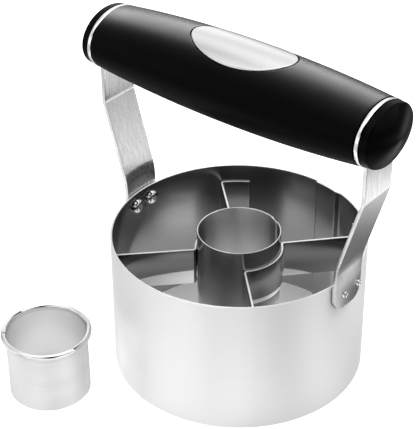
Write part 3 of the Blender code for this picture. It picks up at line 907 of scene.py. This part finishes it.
def make_band(side, turn):
    """A trim band: a rounded bright hoop, open below where the arm comes up."""
    form = bmesh.new()
    depth = GRIP_END[0]
    inner = depth - BAND_THICKNESS
    low, high = BAND_START_X, BAND_START_X + BAND_WIDTH
    corners = ((low, inner), (high, inner), (high, depth), (low, depth))
    verts = [form.verts.new((x, 0, z)) for x, z in corners]
    form.faces.new(verts)
    bmesh.ops.subdivide_edges(form, edges=[form.edges.get(verts[2:])], cuts=7)
    for vert in form.verts:
        if vert.co.z > depth - BAND_THICKNESS / 2:
            across = (vert.co.x - (low + high) / 2) / (BAND_WIDTH / 2)
            vert.co.z = depth - BAND_CROWN * across**4
    turn_form(form, math.pi + BAND_OPENING, "X")
    bmesh.ops.spin(
        form, geom=form.faces[:], cent=(0, 0, 0), axis=(1, 0, 0), angle=math.tau - 2 * BAND_OPENING,
        steps=BAND_STEPS,
    )
    press_oval(form, band_ratio)
    turn_form(form, turn)
    finish_piece(form, "trim_hoop_" + side, TRIM_METAL, ["trim_band_" + side], sharp=50)


def cap_outline():
    """Half of an end cap's section: (x, depth) from its flat back, over a small corner and its side, out
    to the middle of its dome."""
    corner_x = CAP_START_X + 0.00015
    side_run = CAP_CREASE_X - CAP_START_X - 0.0004
    side_start = GRIP_END[0] - 0.00034
    side_end = CAP_CREASE[0] + 0.00002
    points = [
        (CAP_START_X, 0),
        (CAP_START_X, GRIP_END[0] - 0.00045),
        (corner_x, GRIP_END[0] - 0.0003),
    ]
    for step in range(1, 5):
        share = step / 4
        points.append((corner_x + side_run * share, side_start + (side_end - side_start) * share))
    for step in range(1, 33):
        share = step / 32
        depth = CAP_CREASE[0] * max(0, 1 - share) ** CAP_DOME_POWER
        points.append((CAP_CREASE_X + CAP_DOME * share, depth))
    return points


def make_cap(side, turn):
    form = bmesh.new()
    draw_line(form, cap_outline())
    turn_round(form, (1, 0, 0), CAP_STEPS)
    press_oval(form, cap_ratio)
    turn_form(form, turn)
    finish_piece(form, "cap_" + side, GLOSS_BLACK, ["end_cap_" + side], sharp=28)


def curl_arc(radius, start, end, steps):
    """An arc round the middle of the rim's curl."""
    x, z = SMALL_INSIDE + CURL_RADIUS, SMALL_HEIGHT - CURL_RADIUS
    angles = [start + (end - start) * step / steps for step in range(steps + 1)]
    return [(x + radius * math.cos(angle), z + radius * math.sin(angle)) for angle in angles]


def small_outline():
    """The small cutter's section: its wall, and the rim curled outward on itself."""
    inner_face = [(SMALL_INSIDE, SMALL_FOOT_EDGE), (SMALL_INSIDE, SMALL_MIDDLE_Z)]
    outer_face = [(SMALL_RADIUS, SMALL_MIDDLE_Z), (SMALL_RADIUS, SMALL_FOOT_EDGE)]
    foot = [(SMALL_RADIUS - SMALL_FOOT_EDGE, 0), (SMALL_INSIDE + SMALL_FOOT_EDGE, 0)]
    curl = curl_arc(CURL_RADIUS, math.pi, CURL_END, 26)
    curl += curl_arc(CURL_RADIUS - SMALL_WALL, CURL_END, math.pi, 16)
    return inner_face + curl + outer_face + foot


def make_small_cutter():
    """The loose cutter, with the lap of its wall and the joint in its rim's curl."""
    form = bmesh.new()
    draw_line(form, small_outline(), closed=True)
    turn_round(form, (0, 0, 1), SMALL_STEPS)
    joint_cuts = [RIM_JOINT_AT + offset for offset in RIM_JOINT_CUTS]
    for angle in [SMALL_LAP_AT - SMALL_LAP_RISE, SMALL_LAP_AT] + joint_cuts:
        cut_lengthwise(form, angle)
    for vert in form.verts:
        distance = math.hypot(vert.co.x, vert.co.y)
        at = angle_round(vert)
        past_lap = (at - SMALL_LAP_AT + SMALL_LAP_MARGIN) % math.tau
        on_outer_face = distance > SMALL_RADIUS - 1.5 * SMALL_FOOT_EDGE
        if on_outer_face and vert.co.z < SMALL_HEIGHT - 2 * CURL_RADIUS:
            move_to_radius(vert, distance + SMALL_LAP_STEP * max(0, 1 - past_lap / SMALL_LAP_FADE))
        in_joint = abs(math.remainder(at - RIM_JOINT_AT, math.tau)) < RIM_JOINT_HALF
        in_curl = vert.co.z > SMALL_HEIGHT - 2.2 * CURL_RADIUS and distance > SMALL_INSIDE + NEAR
        if in_joint and in_curl:
            out = Vector((math.cos(at), math.sin(at), 0))
            middle = out * (SMALL_INSIDE + CURL_RADIUS) + Vector((0, 0, SMALL_HEIGHT - CURL_RADIUS))
            vert.co = middle + (vert.co - middle) * RIM_JOINT_SHARE
    mark_inner(form)
    finish_piece(
        form, "small_cutter_sheet", SMALL_STEEL, ["small_cutter"], body="loose_cutter",
        move=SMALL_CENTRE, sharp=40,
    )


make_ring()
make_tube()
make_strip("right", RIGHT_SPOKES, SHORT_TAB_LENGTH)
make_strip("left", LEFT_SPOKES, TAB_LENGTH)
for side, turn in (("right", 0), ("left", math.pi)):
    make_arm(side, turn)
    make_band(side, turn)
    make_cap(side, turn)
for place, angle in RIVET_ANGLES.items():
    make_rivet(place, angle)
make_skin()
make_plate()
make_small_cutter()

# The pieces that can't be seen keep their CAD form
for name, material in (
    ("grip_core", CORE_BLACK),
    ("arm_screw_right", HIDDEN_STEEL),
    ("arm_screw_left", HIDDEN_STEEL),
    ("small_cutter_wire", HIDDEN_STEEL),
):
    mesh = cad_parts[name].data
    mesh.materials.clear()
    mesh.materials.append(material)

# Soft cards round the studio: compass angle from +X towards +Y and height, both in degrees, then
# brightness. A card fades in between two cosines of the angle from its middle.
CARD_FADE = (0.829, 0.970)
CARDS = [
    (0, 4, 0.98),
    (36, 4, 0.90),
    (72, 4, 0.69),
    (108, 4, 0.39),
    (144, 4, 0.92),
    (180, 4, 0.16),
    (216, 4, 0.95),
    (252, 4, 1.02),
    (288, 4, 1.50),
    (90, 32, 0.41),
    (130, 32, 0.73),
    (170, 32, 0.48),
    (210, 32, 0.39),
    (30, 60, 1.50),
    (102, 60, 0.86),
    (174, 60, 0.29),
    (246, 60, 1.22),
    (0, 90, 1.50),
]

# Pools of light on the table that the steel mirrors: place, reach and brightness. A pool is even over
# its core, which is a share of its reach.
POOL_CORE = 0.2
POOLS = [
    (0.085, 0.015, 0.050, 0.75),
    (-0.085, 0.015, 0.050, 0.34),
    (0.000, -0.070, 0.050, 0.59),
    (0.060, -0.045, 0.050, 1.74),
    (0.160, 0.015, 0.075, 1.10),
    (0.113, 0.128, 0.075, 1.56),
    (-0.113, -0.098, 0.075, 0.80),
    (0.000, -0.145, 0.075, 0.69),
    (0.113, -0.098, 0.075, 1.80),
    (0.018, 0.033, 0.030, 1.14),
    (-0.018, 0.033, 0.030, 0.42),
    (-0.018, -0.004, 0.030, 0.68),
    (0.018, -0.004, 0.030, 0.68),
    (-0.039, -0.044, 0.014, 0.15),
    (0.300, 0.330, 0.270, 1.95),
    (0.105, 0.068, 0.032, 0.60),
]

# The table's glow in mirrors, outside the ring to its left and front: compass angle in degrees and
# brightness
GLOWS = [
    (180, 0.36),
    (240, 0.28),
    (300, 0.50),
]

# The table's glow in mirrors, inside the ring
GLOW_IN_RING = 0.60

# How white the table looks to the camera, inside the ring and outside. The darker level inside the ring is a
# painted shadow.
SHADOWED_FLOOR_IN_RING = 0.17
FLOOR_OUTSIDE = 0.85

# Distances from the ring's axis between which each of these changes, all under the wall
OUTER_GLOW_START = (0.0446, 0.0450)
INNER_GLOW_END = (0.0442, 0.0446)
FLOOR_CHANGE = (0.0444, 0.0448)

# The table's grey under the lamps, as light bounces off it and as the camera sees it
FLOOR_GREY = 0.12
FLOOR_GREY_SEEN = 0.75
FLOOR_SIZE = 6

# Soft box that lights the grip's skin from behind on the left
GRIP_SOFTBOX_PLACE = (-0.40, 0.52, 0.60)
GRIP_SOFTBOX_SIZE = (0.80, 0.60)
GRIP_SOFTBOX_POWER = 44.0

# Small card between the two cutters that lights the ring's wall
GAP_CARD_PLACE = (-0.0300, -0.0305, 0.0125)
GAP_CARD_SIZE = (0.024, 0.022)
GAP_CARD_POWER = 0.00089

# The photograph's camera: its place, where its right, top and back point, and its focal length in
# millimetres
CAMERA_PLACE = (0.25993, -0.32659, 0.33766)
CAMERA_RIGHT = (0.78192, 0.62336, -0.00457)
CAMERA_UP = (-0.3375, 0.4295, 0.83763)
CAMERA_BACK = (0.52411, -0.65342, 0.54622)
CAMERA_LENS = 124.05
SENSOR_WIDTH = 36.0


def make_direction_group(name, first, full):
    """A brightness that rises towards a direction, between two cosines."""
    group, start, end = new_group(
        name,
        [("Vector", "Vector", None), ("Direction", "Vector", None), ("Brightness", "Float", 1.0)],
        [("Level", "Float")],
    )
    towards = node(group, "ShaderNodeVectorMath", operation="DOT_PRODUCT")
    link(group, start.outputs["Vector"], towards.inputs[0])
    link(group, start.outputs["Direction"], towards.inputs[1])
    level = spread(group, towards.outputs["Value"], 0.0, 1.0, first, full)
    level = math_node(group, "MULTIPLY", level, start.outputs["Brightness"])
    link(group, level, end.inputs["Level"])
    return group


def make_pool_group():
    """A round pool of light with a soft edge, from its middle out to its reach."""
    sockets = [
        ("Vector", "Vector", None),
        ("Centre", "Vector", None),
        ("Reach", "Float", 0.1),
        ("Brightness", "Float", 1.0),
    ]
    group, start, end = new_group("light_pool", sockets, [("Level", "Float")])
    away = node(group, "ShaderNodeVectorMath", operation="DISTANCE")
    link(group, start.outputs["Vector"], away.inputs[0])
    link(group, start.outputs["Centre"], away.inputs[1])
    share = math_node(group, "DIVIDE", away.outputs["Value"], start.outputs["Reach"])
    fall = node(group, "ShaderNodeMapRange", interpolation_type="SMOOTHSTEP")
    set_inputs(fall, From_Min=POOL_CORE, From_Max=1.0, To_Min=1.0, To_Max=0.0)
    link(group, share, fall.inputs["Value"])
    level = math_node(group, "MULTIPLY", fall.outputs["Result"], start.outputs["Brightness"])
    link(group, level, end.inputs["Level"])
    return group


def direction(compass, height=0):
    """A unit vector from a compass angle and a height in degrees."""
    turn, rise = math.radians(compass), math.radians(height)
    return (math.cos(rise) * math.cos(turn), math.cos(rise) * math.sin(turn), math.sin(rise))


def summed(tree, levels):
    total = levels[0]
    for level in levels[1:]:
        total = math_node(tree, "ADD", total, level)
    return total


def empty_tree(owner):
    """The cleared node tree of a material or a world."""
    owner.use_nodes = True
    owner.node_tree.nodes.clear()
    return owner.node_tree


def mirrored_glow(tree, outward, from_ring):
    """How bright the table is in mirrors: its pools, its glow outside the ring and its glow inside."""
    place = object_vector(tree)
    pool = make_pool_group()
    levels = [
        place_group(tree, pool, place, Centre=(x, y, 0), Reach=reach, Brightness=bright).outputs["Level"]
        for x, y, reach, bright in POOLS
    ]
    unit = node(tree, "ShaderNodeVectorMath", operation="NORMALIZE")
    link(tree, outward, unit.inputs[0])
    table_side = make_direction_group("table_side", 0.0, 1.0)
    sides = []
    for compass, bright in GLOWS:
        way = direction(compass)
        side = place_group(tree, table_side, unit.outputs["Vector"], Direction=way, Brightness=bright)
        sides.append(side.outputs["Level"])
    beyond_ring = spread(tree, from_ring, 0, 1, *OUTER_GLOW_START)
    levels.append(math_node(tree, "MULTIPLY", summed(tree, sides), beyond_ring))
    levels.append(spread(tree, from_ring, GLOW_IN_RING, 0.0, *INNER_GLOW_END))
    return summed(tree, levels)


def make_floor():
    """A pale table. The camera sees it whiter than the lamps leave it, and it keeps its shadows; inside the
    ring the camera sees a painted shadow, a darker level.
    """
    form = bmesh.new()
    bmesh.ops.create_grid(form, x_segments=1, y_segments=1, size=FLOOR_SIZE)
    mesh = mesh_of(form, "floor")
    material = bpy.data.materials.new("white_table")
    tree = empty_tree(material)
    path = node(tree, "ShaderNodeLightPath")
    matt = node(tree, "ShaderNodeBsdfDiffuse")
    grey_level = blended_value(tree, path.outputs["Is Camera Ray"], FLOOR_GREY, FLOOR_GREY_SEEN)
    link(tree, grey_level, matt.inputs["Color"])
    outward = object_vector(tree, RING_CENTRE)
    away = node(tree, "ShaderNodeVectorMath", operation="LENGTH")
    link(tree, outward, away.inputs[0])
    from_ring = away.outputs["Value"]
    shown = mirrored_glow(tree, outward, from_ring)
    shown = math_node(tree, "MULTIPLY", path.outputs["Is Glossy Ray"], shown)
    # Inside the ring the camera sees the table darker: a painted shadow
    white = spread(tree, from_ring, SHADOWED_FLOOR_IN_RING, FLOOR_OUTSIDE, *FLOOR_CHANGE)
    seen = math_node(tree, "MULTIPLY", path.outputs["Is Camera Ray"], white)
    glow = node(tree, "ShaderNodeEmission")
    link(tree, math_node(tree, "ADD", shown, seen), glow.inputs["Strength"])
    both = node(tree, "ShaderNodeAddShader")
    link(tree, matt.outputs["BSDF"], both.inputs[0])
    link(tree, glow.outputs["Emission"], both.inputs[1])
    end = node(tree, "ShaderNodeOutputMaterial")
    link(tree, both.outputs["Shader"], end.inputs["Surface"])
    mesh.materials.append(material)
    floor = add_object("floor", mesh)


def make_world():
    """A dim studio with soft cards round it; the camera sees plain white."""
    world = bpy.data.worlds.new("studio")
    bpy.context.scene.world = world
    tree = empty_tree(world)
    coordinates = node(tree, "ShaderNodeTexCoord")
    soft_card = make_direction_group("soft_card", *CARD_FADE)
    outward = coordinates.outputs["Generated"]
    cards = []
    for compass, height, bright in CARDS:
        way = direction(compass, height)
        card = place_group(tree, soft_card, outward, Direction=way, Brightness=bright)
        cards.append(card.outputs["Level"])
    path = node(tree, "ShaderNodeLightPath")
    light = node(tree, "ShaderNodeBackground")
    light.inputs["Color"].default_value = (1, 1, 1, 1)
    strength = blended_value(tree, path.outputs["Is Camera Ray"], summed(tree, cards), 1.0)
    link(tree, strength, light.inputs["Strength"])
    end = node(tree, "ShaderNodeOutputWorld")
    link(tree, light.outputs["Background"], end.inputs["Surface"])


def add_lamp(name, place, aim, size, power, piece):
    """A soft rectangular lamp that is shaded so that it only reaches one piece."""
    lamp = bpy.data.lights.new(name, "AREA")
    lamp.shape = "RECTANGLE"
    lamp.size, lamp.size_y = size
    lamp.energy = power
    holder = add_object(name, lamp)
    holder.location = place
    holder.rotation_euler = (Vector(aim) - Vector(place)).to_track_quat("-Z", "Y").to_euler()
    lit = bpy.data.collections.new("lit_by_" + name)
    lit.objects.link(bpy.data.objects[piece])
    holder.light_linking.receiver_collection = lit


def make_camera():
    camera = bpy.data.cameras.new("camera")
    camera.sensor_fit = "AUTO"
    camera.sensor_width = SENSOR_WIDTH
    camera.lens = CAMERA_LENS
    camera.clip_start = 0.01
    camera.clip_end = 50.0
    eye = add_object("camera", camera)
    rows = list(zip(CAMERA_RIGHT, CAMERA_UP, CAMERA_BACK, CAMERA_PLACE))
    eye.matrix_world = Matrix(rows + [(0, 0, 0, 1)])
    bpy.context.scene.camera = eye


make_floor()
make_world()
add_lamp(
    "grip_softbox", GRIP_SOFTBOX_PLACE, GRIP_CENTRE, GRIP_SOFTBOX_SIZE, GRIP_SOFTBOX_POWER, "soft_skin"
)
add_lamp(
    "gap_card", GAP_CARD_PLACE, (0, RING_Y, GAP_CARD_PLACE[2]), GAP_CARD_SIZE, GAP_CARD_POWER, "ring_sheet"
)
make_camera()
bpy.context.scene.view_settings.view_transform = "Standard"
